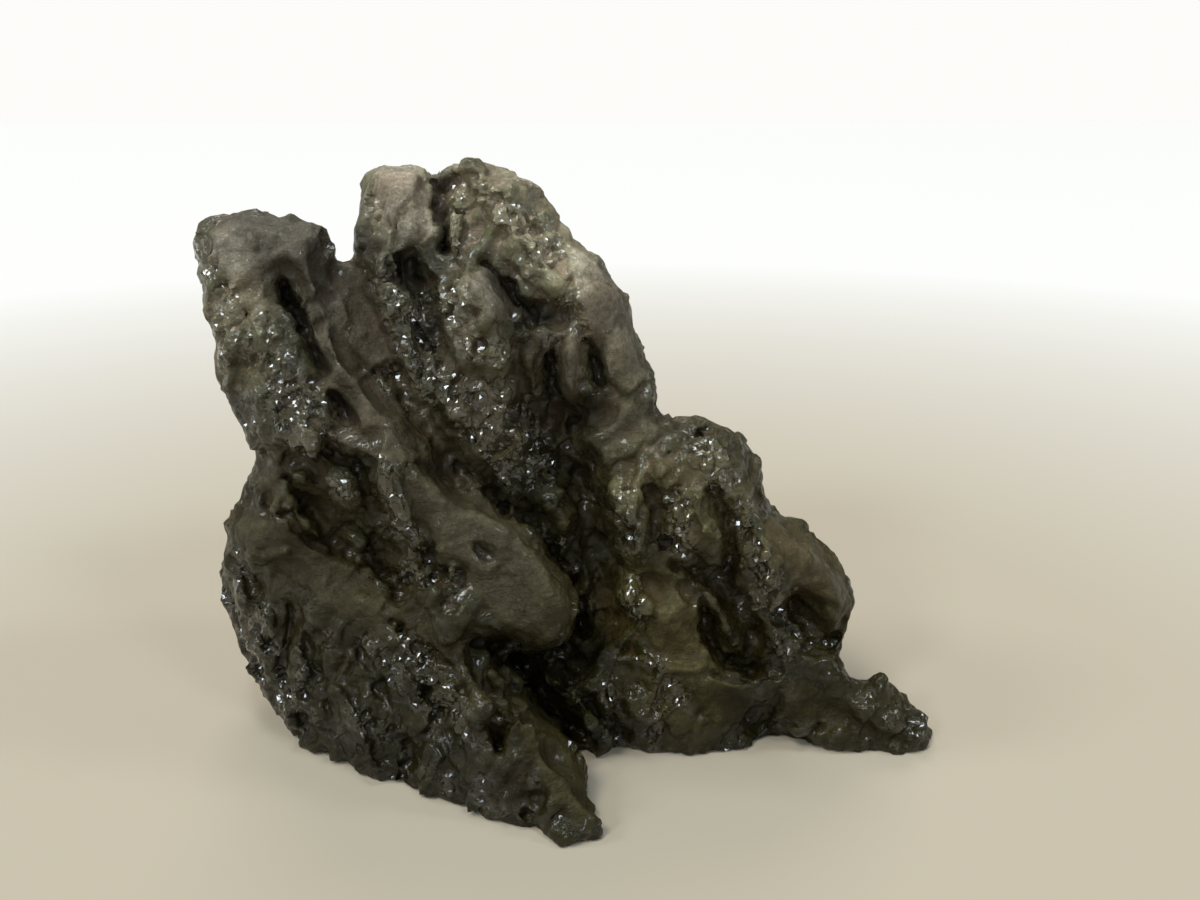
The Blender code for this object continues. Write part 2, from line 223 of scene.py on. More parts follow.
def cutShape(reach):  # steep walls and a rounded floor
    inside = np.clip(1 - reach ** 2.6, 0, 1)
    return np.sqrt(inside) * smoothStep(0, 0.2, inside)


def bulgeShape(reach):
    inside = np.clip(1 - reach ** 2, 0, 1)
    return inside ** 0.75


def sideOf(u, v, path):  # pixels from a line, positive on the left, and a fade at its ends
    best = np.full(len(u), 1e9)
    signed = np.zeros(len(u))
    fade = np.ones(len(u))
    last = len(path) - 2
    for index, (start, end) in enumerate(zip(path[:-1], path[1:])):
        du, dv = end[0] - start[0], end[1] - start[1]
        length = math.hypot(du, dv)
        along = ((u - start[0]) * du + (v - start[1]) * dv) / length
        beyond = np.maximum(-along, along - length)
        held = np.clip(along, 0, length)
        away = np.hypot(u - start[0] - held * du / length, v - start[1] - held * dv / length)
        cross = (du * (v - start[1]) - dv * (u - start[0])) / length
        nearer = away < best
        best = np.where(nearer, away, best)
        signed = np.where(nearer, -np.sign(cross) * away, signed)
        atEnd = 1 - smoothStep(-2, 14, beyond) if index in (0, last) else 1.0
        fade = np.where(nearer, atEnd, fade)
    return signed, fade


# stone

stoneLook = {
    "firstVoxel": 1.5 * mm,
    "secondVoxel": 0.86 * mm,
    "triangles": 195000,
    "belowFloor": 0.5 * mm,  # the foot is cut this far under the floor
    "frontFade": (9 * mm, 20 * mm),  # depths behind the front over which it stops being seen
    "stray": 2.6,            # pixels that a worked edge wanders
    "cutShare": 0.75,
    "cutWander": 0.35,       # share by which the depth of a cut varies
    "cutWanderSize": 9 * mm,
    "leastWall": 8 * mm,     # rock that always stays behind a cut
    "sheetCell": 5,          # pixels
    "sheetRounds": 1500,
    "sheetDepth": 34 * mm,
    "riseShare": 1.4,
    "mergeWithin": 0.01 * mm,
    "ledgeMost": (-12, 6),   # mm
    "strayGlint": 0.3,       # glint outside the patches
    "glintWander": 0.45,
    "glintWanderSize": 7 * mm,
    "hollowNear": 0.35 * mm,  # relief over a short and a long reach that counts as a hollow
    "hollowFar": 1.6 * mm,
    "unseenWornSize": 42 * mm,
    "unseenGlintSize": 30 * mm,
    "thinSteps": 5,
    "thinSeen": 0.3,
    "coarserBehind": 0.36,   # how much sooner the unseen side is thinned
    "flatAbove": 0.4,        # share of glint from which the small facets are left flat
}

# deep cuts: path in pixels, half widths in pixels, depth in mm
stoneCuts = {
    "lobeCleft": ([(281, 284), (290, 305), (308, 338), (324, 371)], [5, 9, 6, 5], 15),
    "lobePit": ([(332, 394), (345, 412), (353, 421)], [5, 8, 6], 9),
    "lobeDent": ([(306, 283), (328, 298)], [7, 9], 3),
    "lobeBeam": ([(322, 324), (352, 362), (392, 412)], [9, 10, 9], 4),
    "peakSlot": ([(441, 166), (441, 205), (445, 248)], [9, 11, 8], 20),
    "peakGroove": ([(470, 198), (470, 234)], [6, 8], 4),
    "peakNick": ([(537, 194), (538, 207)], [5, 5], 4),
    "upperPit": ([(410, 258), (421, 285), (432, 325), (440, 348)], [5, 13, 12, 4], 9),
    "pocketEdge": ([(485, 268), (508, 290), (524, 322)], [6, 11, 12], 12),
    "pocketFloor": ([(530, 312), (556, 318)], [14, 12], 8),
    "barSlotLeft": ([(551, 354), (554, 378), (556, 398)], [6, 7, 6], 9),
    "barSlotRight": ([(587, 342), (596, 360), (600, 384)], [6, 9, 9], 10),
    "underBars": ([(586, 386), (580, 405), (572, 430)], [9, 11, 9], 9),
    "nLeftGap": ([(648, 490), (657, 512), (662, 540)], [7, 9, 7], 10),
    "nRightGap": ([(714, 490), (727, 520), (731, 562)], [6, 8, 9], 12),
    "nUnder": ([(672, 566), (700, 574), (726, 572)], [5, 7, 7], 8),
    "hollowTop": ([(692, 568), (718, 586), (742, 602)], [8, 14, 14], 9),
    "hollowLeft": ([(704, 610), (708, 636), (724, 660), (750, 668)], [7, 9, 11, 8], 17),
    "hollowRight": ([(744, 612), (752, 640), (752, 662)], [10, 11, 8], 11),
    "shoulderHollow": ([(797, 604), (812, 626), (834, 642)], [8, 14, 12], 10),
    "footArch": ([(744, 756), (752, 724), (774, 704)], [9, 14, 9], 8),
    "neckHollow": ([(284, 478), (312, 500), (345, 530), (385, 560), (408, 572)],
                   [3, 18, 24, 18, 8], 15),
    "neckHollowTop": ([(330, 452), (368, 474), (378, 515)], [9, 11, 13], 9),
    "slabHole": ([(428, 572), (444, 580), (466, 580)], [5, 10, 4], 6),
    "slabPit": ([(478, 546), (484, 552), (492, 558)], [3, 6, 3], 4),
    "slabPitSmall": ([(499, 570), (502, 578)], [4, 4], 3),
    "slabUnder": ([(478, 640), (500, 655), (528, 668)], [9, 18, 18], 14),
    "lowChannel": ([(528, 676), (553, 706), (580, 740)], [13, 11, 9], 11),
    "lowChannelSplit": ([(560, 668), (580, 700), (600, 722)], [7, 8, 6], 6),
    "toeHole": ([(501, 708), (493, 726), (500, 750)], [3, 10, 7], 10),
    "toeNotch": ([(526, 812), (528, 832), (530, 862)], [5, 13, 20], 12),
    "leftGroove": ([(238, 560), (252, 582), (264, 602)], [4, 7, 4], 6),
    "leftGrooveMiddle": ([(288, 604), (292, 630), (283, 668), (276, 684)], [4, 6, 7, 5], 7),
    "leftGrooveRight": ([(306, 632), (316, 664), (324, 690)], [4, 6, 4], 5),
    "frontGroove": ([(392, 622), (420, 648), (450, 668)], [4, 8, 5], 7),
    "frontGrooveLow": ([(352, 640), (376, 676), (388, 706)], [4, 7, 4], 5),
    "frontGrooveRight": ([(424, 690), (448, 726), (462, 756)], [4, 7, 4], 6),
    "frontPit": ([(402, 742), (414, 772)], [8, 10], 7),
    "leftTipHollow": ([(304, 720), (310, 738)], [7, 8], 7),
    "valleySeam": ([(505, 508), (548, 552), (574, 590), (582, 628)], [6, 8, 9, 9], 10),
    "valleyDeep": ([(575, 470), (590, 520), (600, 570), (604, 610)], [9, 13, 13, 10], 8),
}

# hollows of the solid that are filled before they are cut again: path, half widths, share
stoneFills = {
    "lobeCleft": ([(284, 266), (298, 308), (322, 362)], [42, 46, 38], 1.0),
    "pocket": ([(482, 242), (520, 275), (560, 322)], [44, 54, 44], 0.95),
    "upperPit": ([(410, 250), (430, 345)], [48, 42], 1.0),
    "lobeFlank": ([(336, 316), (350, 350), (372, 402)], [30, 34, 32], 0.9),
    "peakSlot": ([(445, 212), (447, 262)], [30, 30], 1.0),
    "hollow": ([(700, 600), (735, 655)], [46, 48], 0.75),
    "neckTop": ([(283, 440), (350, 446)], [20, 20], 0.7),
    "neckLeft": ([(272, 470), (284, 486)], [20, 18], 0.9),
    "recess": ([(292, 468), (345, 500), (392, 545)], [42, 48, 38], 0.5),
    "lumpGaps": ([(652, 485), (688, 545)], [38, 38], 1.0),
    "ridgeGap": ([(738, 500), (752, 548)], [30, 30], 1.0),
    "toeHole": ([(490, 732), (490, 746)], [28, 28], 1.0),
    "footArch": ([(752, 715), (768, 705)], [24, 20], 0.5),
}

# thin places that get more rock: pixel that gives the depth, pixel of the middle, radius in mm
stonePads = {
    "lobeShoulder": ((312, 262), (309, 242), 8),
    "lobeShoulderLow": ((318, 268), (322, 251), 6),
    "saddleTop": ((346, 300), (342, 271), 4),
    "peakTop": ((462, 190), (459, 170), 4),
    "peakTopRight": ((472, 190), (471, 169), 5),
    "saddle": ((346, 300), (346, 288), 9),
    "saddleLow": ((358, 332), (358, 332), 16),
}

# raised work: path, half widths, height in mm
stoneRises = {
    "slotRim": ([(449, 198), (453, 246)], [5, 6], 3),
    "peakRibLeft": ([(480, 172), (481, 208)], [6, 6], 2),
    "peakRibRight": ([(508, 185), (510, 228)], [7, 8], 2.5),
    "pocketBrow": ([(515, 248), (540, 270), (560, 288)], [14, 17, 10], 4),
    "saddleRidge": ([(383, 262), (398, 300), (412, 352)], [8, 9, 8], 3),
    "middleLump": ([(472, 285), (480, 320)], [24, 22], 4),
    "middleSpur": ([(455, 330), (472, 362)], [12, 11], 4),
    "sparkKnob": ([(498, 345), (504, 366)], [13, 11], 4),
    "leftBar": ([(532, 338), (535, 372), (538, 396)], [15, 11, 8], 4),
    "rightBar": ([(570, 345), (572, 372), (570, 396)], [11, 12, 8], 5),
    "barRim": ([(595, 346), (610, 380)], [4, 4], 3),
    "nLeft": ([(632, 500), (636, 530), (640, 556)], [12, 13, 11], 5),
    "nMiddle": ([(688, 508), (700, 540)], [20, 20], 5),
    "nChunk": ([(708, 536), (713, 550)], [14, 12], 3),
    "nRight": ([(742, 498), (752, 530), (768, 560), (778, 590)], [12, 13, 11, 8], 5),
    "sparkLump": ([(718, 448), (718, 475)], [14, 15], 4),
    "paleKnob": ([(660, 470), (670, 486)], [11, 11], 4),
    "massKnob": ([(632, 590), (642, 606)], [14, 15], 5),
    "shineRidge": ([(640, 658), (668, 668), (716, 670)], [5, 6, 5], 3),
    "hollowRidge": ([(699, 588), (718, 608), (731, 640)], [6, 9, 6], 6),
    "knobInHollow": ([(340, 478), (350, 498)], [14, 17], 10),
    "sparkRidge": ([(384, 474), (398, 502), (414, 545)], [9, 14, 12], 8),
    "knobLow": ([(404, 566), (418, 572)], [12, 14], 9),
    "recessKnobTop": ([(300, 476), (312, 488)], [9, 9], 6),
    "recessKnobLow": ([(352, 540), (372, 548)], [9, 8], 6),
    "pearl": ([(452, 573)], [7], 6),
    "channelKnob": ([(494, 672), (500, 684)], [9, 9], 5),
    "lowRidge": ([(538, 668), (572, 700), (598, 728), (612, 745)], [5, 8, 7, 5], 5),
    "lowRidgeRight": ([(588, 688), (612, 712), (632, 730)], [6, 8, 6], 4),
    "neckKnob": ([(304, 430), (308, 446)], [14, 15], 7),
    "neckKnobLeft": ([(272, 412), (280, 432)], [11, 10], 3),
    "lobeRidge": ([(228, 217), (246, 230), (254, 246)], [6, 6, 5], 2),
    "footKnob": ([(868, 716), (900, 722)], [12, 13], 3),
    "topChip": ([(688, 422), (700, 426)], [6, 6], 2),
    "leftLip": ([(234, 552), (262, 560), (284, 552)], [7, 8, 6], 3),
    "leftKnob": ([(234, 592), (242, 608)], [11, 11], 5),
    "leftKnobMiddle": ([(258, 606), (268, 626)], [12, 10], 5),
    "leftKnobLow": ([(252, 640), (260, 658)], [9, 9], 4),
    "leftKnobRight": ([(296, 650), (304, 674)], [9, 10], 4),
    "leftTip": ([(292, 706), (318, 716)], [10, 12], 4),
    "frontBeam": ([(336, 692), (352, 728), (376, 766)], [11, 13, 10], 4),
    "frontLump": ([(398, 668), (418, 700)], [13, 14], 4),
    "frontLumpLow": ([(430, 752), (446, 780)], [14, 12], 4),
    "frontSpur": ([(452, 690), (478, 722)], [9, 10], 4),
}

# ledges: the side on the left of the path stands proud
# path, rise in mm, fade in pixels, drop in mm, fade of the drop in pixels
stoneLedges = {
    "slabEdge": ([(567, 643), (575, 613), (567, 580), (543, 550), (503, 513), (483, 493)],
                 4, 40, 9, 14),
    "slabFoot": ([(474, 627), (510, 638), (522, 648), (567, 646)], 3, 30, 6, 12),
    "blockBrow": ([(433, 585), (397, 588), (377, 573), (343, 562), (310, 543), (280, 516)],
                  4, 26, 7, 16),
    "pocketLip": ([(536, 334), (512, 300), (500, 276), (484, 266)], 3, 18, 6, 10),
    "massLip": ([(757, 676), (716, 664), (704, 630), (700, 596)], 3, 20, 6, 9),
    "toeFace": ([(604, 820), (588, 787), (582, 753), (560, 722), (512, 694)], 3, 30, 6, 10),
    "nMiddleFoot": ([(676, 560), (700, 570), (728, 566), (732, 530)], 3, 16, 5, 9),
    "shoulderLip": ([(786, 598), (800, 592), (836, 606), (852, 628)], 2, 18, 5, 10),
    "neckBrow": ([(278, 462), (300, 458), (326, 440), (345, 454), (384, 462)], 3, 14, 5, 12),
}

# faces that water has worn smooth: path, half widths
stoneWorn = {
    "lobeTop": ([(245, 245), (300, 245)], [40, 30]),
    "longSlab": ([(310, 262), (345, 380), (398, 440)], [18, 22, 26]),
    "slabLow": ([(430, 500), (480, 540), (535, 605)], [26, 44, 40]),
    "saddle": ([(352, 290), (372, 345)], [20, 20]),
    "peakLeft": ([(398, 185), (412, 225)], [30, 22]),
    "middleLump": ([(488, 284), (500, 308)], [18, 15]),
    "upperRight": ([(580, 262), (605, 310), (625, 372)], [14, 26, 22]),
    "rightMiddle": ([(598, 412), (640, 425)], [18, 18]),
    "chunk": ([(712, 545)], [14]),
    "shoulder": ([(782, 530), (825, 585), (835, 612)], [18, 30, 24]),
    "mass": ([(668, 585), (675, 630), (725, 700)], [24, 30, 26]),
    "block": ([(250, 530), (330, 575), (380, 620)], [20, 26, 22]),
    "toe": ([(535, 725), (562, 775), (585, 815)], [18, 24, 18]),
    "bars": ([(570, 350), (570, 390)], [12, 10]),
    "foot": ([(800, 700), (830, 712)], [22, 18]),
}

# rough wet patches that glint: path, half widths, strength where it isn't full
stoneGlints = {
    "peakLeft": ([(370, 205), (386, 218)], [12, 14]),
    "lobeTip": ([(200, 240), (208, 268)], [10, 12]),
    "lobeLeft": ([(226, 298), (236, 350)], [20, 24]),
    "lobeLow": ([(262, 365), (310, 400)], [16, 20]),
    "neck": ([(280, 400), (305, 448)], [16, 14]),
    "slotRight": ([(455, 180), (458, 220)], [9, 10]),
    "peakRight": ([(482, 190), (512, 215), (545, 250)], [12, 18, 24]),
    "pocketBack": ([(572, 300), (585, 330)], [20, 12]),
    "middleSpur": ([(450, 300), (470, 345)], [16, 18]),
    "sparkKnob": ([(500, 352)], [18]),
    "middleBed": ([(388, 268), (400, 320), (430, 385), (480, 400)], [14, 18, 22, 24]),
    "middleLow": ([(470, 410), (520, 470)], [22, 26]),
    "valleyTop": ([(520, 420), (540, 470)], [20, 22]),
    "nLeft": ([(625, 495), (630, 545)], [14, 14]),
    "nMiddle": ([(680, 500), (680, 545)], [18, 18]),
    "sparkLump": ([(700, 445), (722, 478)], [20, 20]),
    "nRight": ([(742, 505), (756, 545), (775, 600), (785, 655)], [14, 14, 12, 10]),
    "massKnob": ([(632, 592), (640, 612)], [16, 14]),
    "massLow": ([(650, 660), (690, 680), (650, 710)], [18, 22, 18], 0.7),
    "knobs": ([(345, 485)], [18]),
    "sparkRidge": ([(388, 480), (405, 530)], [13, 15]),
    "knobLow": ([(410, 570), (450, 575)], [14, 10]),
    "blockLeft": ([(232, 590), (262, 650), (300, 720)], [14, 22, 24], 0.62),
    "front": ([(380, 640), (430, 690), (470, 740)], [26, 34, 30], 0.56),
    "frontLow": ([(400, 740), (460, 780), (530, 815)], [24, 24, 14], 0.42),
    "foot": ([(870, 712), (915, 728)], [16, 16], 0.5),
}

# painted light and shade: places painted lighter as light on tops, lobes, rims and in hollows, and
# darker as shade in clefts, slots, pits and on the lower front: path, half widths, factor
# factors above 1 add up, and those under 1 darken what the others leave
stoneLightAndShade = {
    "peaks": ([(400, 190), (500, 205), (560, 260)], [52, 56, 44], 3.4),
    "lobe": ([(216, 262), (236, 350)], [40, 44], 2.4),
    "cleftDark": ([(281, 286), (290, 306), (308, 338), (324, 371)], [4, 8, 6, 5], 0.5),
    "lobePitDark": ([(333, 396), (346, 412), (353, 421)], [4, 8, 5], 0.5),
    "slabPitDark": ([(481, 549), (487, 556)], [8, 8], 0.5),
    "slotDark": ([(440, 168), (440, 205), (445, 250)], [8, 9, 7], 0.4),
    "slotRim": ([(452, 215), (455, 247)], [4, 4], 1.5),
    "pocketDark": ([(490, 272), (512, 298), (536, 318)], [8, 14, 16], 0.55),
    "pitDark": ([(410, 262), (424, 300), (438, 344)], [12, 15, 10], 0.6),
    "barSlots": ([(553, 356), (556, 395)], [6, 7], 0.6),
    "barSlotsRight": ([(588, 342), (602, 386), (580, 420)], [7, 9, 12], 0.6),
    "slabRim": ([(503, 516), (543, 554), (565, 583), (571, 613), (563, 638)], [4, 4, 4, 4, 4], 1.5),
    "upperRight": ([(590, 280), (620, 370)], [44, 44], 1.7),
    "middle": ([(470, 290), (480, 360)], [36, 36], 1.8),
    "lumps": ([(640, 470), (700, 490), (740, 530)], [46, 56, 36], 1.95),
    "mass": ([(650, 605), (680, 690)], [50, 54], 2.2),
    "shoulder": ([(790, 540), (830, 610)], [44, 44], 1.4),
    "foot": ([(790, 705), (880, 725)], [34, 34], 1.3),
    "toe": ([(540, 730), (585, 800)], [34, 30], 1.35),
    "front": ([(270, 600), (340, 700), (440, 770)], [56, 70, 50], 0.85),
    "recess": ([(300, 482), (365, 530)], [40, 40], 1.3),
    "valley": ([(560, 500), (600, 600)], [28, 28], 1.25),
    "hollow": ([(712, 622), (742, 640)], [30, 28], 1.25),
}


def copyOfSolid(name):
    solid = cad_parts["stone"]
    mesh = solid.data.copy()
    mesh.materials.clear()
    work = bmesh.new()
    work.from_mesh(mesh)
    bmesh.ops.remove_doubles(work, verts=work.verts, dist=stoneLook["mergeWithin"])
    bmesh.ops.recalc_face_normals(work, faces=work.faces)
    tree = BVHTree.FromBMesh(work)
    eye = Vector(view["eye"])
    for pixel, place, radius in stonePads.values():  # balls that the remesh joins on
        far = tree.ray_cast(eye, sightThrough(pixel))[3]
        if far is not None:
            middle = Matrix.Translation(eye + sightThrough(place) * (far + radius * 0.95 * mm))
            bmesh.ops.create_icosphere(work, subdivisions=3, radius=radius * mm, matrix=middle)
    work.to_mesh(mesh)
    work.free()
    thing = bpy.data.objects.new(name, mesh)
    scene.collection.objects.link(thing)
    return thing


def strayedView(points):
    u, v, ahead, sight = pictureView(points)
    wander = stoneLook["stray"]
    u = u + wander * layeredNoise(points, 11 * mm, 41)
    v = v + wander * layeredNoise(points, 11 * mm, 61)
    return u, v, ahead, sight


def fillHollows(mesh):  # stretches a sheet over each hollow and lifts the rock up to it
    cell = stoneLook["sheetCell"]
    points, normals = pointsOf(mesh), normalsOf(mesh)
    u, v, ahead, sight = pictureView(points)
    columns, rows = view["width"] // cell, view["height"] // cell
    column = np.clip(u // cell, 0, columns - 1).astype(np.int64)
    row = np.clip(v // cell, 0, rows - 1).astype(np.int64)
    sheet = np.full((columns, rows), farOff)
    np.minimum.at(sheet, (column, row), ahead)
    known = sheet < farOff
    middles = [(np.arange(count) + 0.5) * cell for count in (columns, rows)]
    gridU, gridV = np.meshgrid(*middles, indexing="ij")
    neighbours = ((1, 0), (-1, 0), (1, 1), (-1, 1))
    covered = np.zeros(gridU.size, dtype=bool)
    share = np.zeros(len(points))
    for path, widths, part in stoneFills.values():
        covered |= strokeReach(gridU.ravel(), gridV.ravel(), path, widths) < 1
        reach = strokeReach(u, v, path, widths)
        share = np.maximum(share, part * (1 - smoothStep(0.92, 1.0, reach)))
    covered = covered.reshape(sheet.shape)
    near = np.zeros_like(known)
    for step, axis in neighbours:
        near |= np.roll(known, step, axis)
    solid = (known | (near & covered)).astype(float)
    level = np.where(known, sheet, 0.0)
    level[covered] = level[known & ~covered].mean()
    for _ in range(stoneLook["sheetRounds"]):
        total, weight = np.zeros_like(level), np.zeros_like(level)
        for step, axis in neighbours:
            total += np.roll(level * solid, step, axis)
            weight += np.roll(solid, step, axis)
        level = np.where(covered & (weight > 0), total / np.maximum(weight, 1), level)
    gu = np.clip(u / cell - 0.5, 0, columns - 1.001)
    gv = np.clip(v / cell - 0.5, 0, rows - 1.001)
    iu, iv = gu.astype(np.int64), gv.astype(np.int64)
    fu, fv = gu - iu, gv - iv
    level = (level[iu, iv] * (1 - fu) * (1 - fv) + level[iu + 1, iv] * fu * (1 - fv)
             + level[iu, iv + 1] * (1 - fu) * fv + level[iu + 1, iv + 1] * fu * fv)
    facing = -(neighbourMean(mesh, normals, 6) * sight).sum(axis=1)
    share *= (behindFront(u, v, ahead, 22) < stoneLook["sheetDepth"]) * (facing > -0.3)
    moved = np.minimum(level - ahead, 0) * share
    putPoints(mesh, points + sight * moved[:, None])


def wallBehind(mesh, points, sight, wanted):  # how far a cut may go towards the other side
    faces = [tuple(face.vertices) for face in mesh.polygons]
    tree = BVHTree.FromPolygons(points.tolist(), faces)
    room = np.full(len(points), 1.0)
    start = 2 * mm
    for index in np.nonzero(wanted)[0]:
        ray = Vector(sight[index])
        far = tree.ray_cast(Vector(points[index]) + ray * start, ray)[3]
        if far is not None:
            room[index] = far + start
    return np.clip(room - stoneLook["leastWall"], 0, None)


def carveFace(mesh):
    points, normals = pointsOf(mesh), normalsOf(mesh)
    shown = shownShare(*pictureView(points), neighbourMean(mesh, normals, 3))
    u, v, ahead, sight = strayedView(points)
    away = np.zeros(len(points))  # mm along the line of sight, away from the viewer
    for path, widths, depth in stoneCuts.values():
        cut = cutShape(strokeReach(u, v, path, widths))
        away = np.maximum(away, stoneLook["cutShare"] * depth * cut)
    away *= 1 + stoneLook["cutWander"] * layeredNoise(points, stoneLook["cutWanderSize"], 81)
    rise = np.zeros(len(points))
    for path, widths, height in stoneRises.values():
        bulge = bulgeShape(strokeReach(u, v, path, widths))
        rise = np.maximum(rise, stoneLook["riseShare"] * height * bulge)
    ledge = np.zeros(len(points))
    for path, height, fade, drop, dropFade in stoneLedges.values():
        side, ends = sideOf(u, v, path)
        proud = height * np.exp(-np.clip(side, 0, None) / fade) * smoothStep(-1, 3, side)
        under = drop * np.exp(-np.clip(-side, 0, None) / dropFade) * smoothStep(-3, 1, -side)
        ledge += ends * (proud - under)
    moved = (away - rise - np.clip(ledge, *stoneLook["ledgeMost"])) * shown * mm
    moved = np.minimum(moved, wallBehind(mesh, points, sight, moved > 0.8 * mm))
    putPoints(mesh, points + sight * moved[:, None])


def strokesShare(u, v, strokes):
    share = np.zeros(len(u))
    for path, widths, *strength in strokes.values():
        full = strength[0] if strength else 1.0
        patch = 1 - smoothStep(0.62, 1.12, strokeReach(u, v, path, widths))
        share = np.maximum(share, full * patch)
    return share


def paintStone(mesh, wide=50):  # the shares that the crust and the material read
    points, normals = pointsOf(mesh), normalsOf(mesh)
    calmNormals = neighbourMean(mesh, normals, 3)
    u, v, ahead, sight = strayedView(points)
    shown = shownShare(*pictureView(points), calmNormals)
    unseen = 1 - shown
    patches = layeredNoise(points, stoneLook["unseenWornSize"], 5)
    outline = 1 - smoothStep(0.0, 0.35, np.abs((calmNormals * sight).sum(axis=1)))
    worn = strokesShare(u, v, stoneWorn) * shown + unseen * smoothStep(0.15, 0.55, patches)
    worn = np.maximum(worn, 0.75 * outline)
    glint = np.maximum(strokesShare(u, v, stoneGlints), stoneLook["strayGlint"]) * shown
    patches = layeredNoise(points, stoneLook["unseenGlintSize"], 9)
    glint += unseen * smoothStep(0.25, 0.7, patches)
    glint += stoneLook["glintWander"] * layeredNoise(points, stoneLook["glintWanderSize"], 21)
    glint = smoothStep(0.35, 0.85, glint)
    near = neighbourMean(mesh, points, 8)
    far = neighbourMean(mesh, near, wide)
    hollow = ((near - points) * normals).sum(axis=1) / stoneLook["hollowNear"]
    hollow += ((far - points) * normals).sum(axis=1) / stoneLook["hollowFar"]
    # painted light and shade: the strokes lighten lit places and darken clefts, slots and pits as
    # shade
    tone, shade = np.ones(len(points)), np.ones(len(points))
    for path, widths, factor in stoneLightAndShade.values():
        patch = 1 - smoothStep(0.45, 1.25, strokeReach(u, v, path, widths))
        change = (factor - 1) * patch * shown
        if factor > 1:
            tone += change
        else:
            shade *= 1 + change
    # the unseen side is painted lighter, most towards the top, as light from above
    tone = tone * shade + unseen * (0.35 + 1.1 * smoothStep(0.08, 0.22, points[:, 2]))
    shares = {
        "tone": tone,
        "worn": worn,
        "glint": glint * (1 - 0.7 * worn),
        "hollow": np.clip(0.5 + 0.25 * hollow, 0, 1),
    }
    for name, values in shares.items():
        layer = mesh.attributes.get(name) or mesh.attributes.new(name, "FLOAT", "POINT")
        layer.data.foreach_set("value", values.astype(np.float32))
    return shares["glint"] * shown


# node helpers

def addNode(tree, kind, place, inputs=None, **settings):  # an input takes a value or an output
    node = tree.nodes.new(kind)
    node.location = place
    for name, value in settings.items():
        setattr(node, name, value)
    for name, value in (inputs or {}).items():
        if isinstance(value, bpy.types.NodeSocket):
            tree.links.new(value, node.inputs[name])
        elif value is not None:
            node.inputs[name].default_value = value
    return node


def addMath(tree, operation, first, second, place, clamp=False, third=None):
    return addNode(tree, "ShaderNodeMath", place, {0: first, 1: second, 2: third},
                   operation=operation, use_clamp=clamp).outputs[0]


def addVector(tree, operation, first, second, place):
    return addNode(tree, "ShaderNodeVectorMath", place, {0: first, 1: second},
                   operation=operation)


def addTimes(tree, first, second, place):
    return addMath(tree, "MULTIPLY", first, second, place)


def addSum(tree, first, second, place, clamp=False):
    return addMath(tree, "ADD", first, second, place, clamp)


# flat chips, each tilted its own way
def addFacets(tree, source, scale, place, seed=0.0, smoothness=None):
    x, y = place
    moved = addVector(tree, "ADD", source, (seed, seed * 0.7, seed * 1.3), place).outputs[0]
    cells = addNode(tree, "ShaderNodeTexVoronoi", (x + 160, y),
                    {"Smoothness": smoothness, "Scale": scale, "Vector": moved},
                    feature="SMOOTH_F1" if smoothness else "F1").outputs
    across = addVector(tree, "SUBTRACT", moved, cells["Position"], (x + 320, y))
    lean = addVector(tree, "SUBTRACT", cells["Color"], (0.5, 0.5, 0.5), (x + 320, y - 150))
    height = addVector(tree, "DOT_PRODUCT", across.outputs[0], lean.outputs[0], (x + 480, y))
    return height.outputs["Value"]


# crust over the stone

crustLook = {
    "Chip Size": 11.0 * mm,
    "Chip Tilt": 0.55,
    "Facet Size": 4.2 * mm,
    "Facet Tilt": 0.6,
    "Lump Size": 7.5 * mm,
    "Lump Height": 5.0 * mm,
    "Knob Size": 2.9 * mm,
    "Knob Height": 2.4 * mm,
    "Streak Size": 5.0 * mm,
    "Streak Height": 4.5 * mm,
    "Streak Stretch": 6.0,
    "Fold Size": 19.0 * mm,
    "Fold Height": 5.0 * mm,
    "Grain Size": 2.6 * mm,
    "Grain Height": 1.2 * mm,
    "Bed Stretch": 2.1,
    "Bed Slope": math.radians(57),
    "Calm On Worn Faces": 0.68,
    "Seed": 17.0,
}


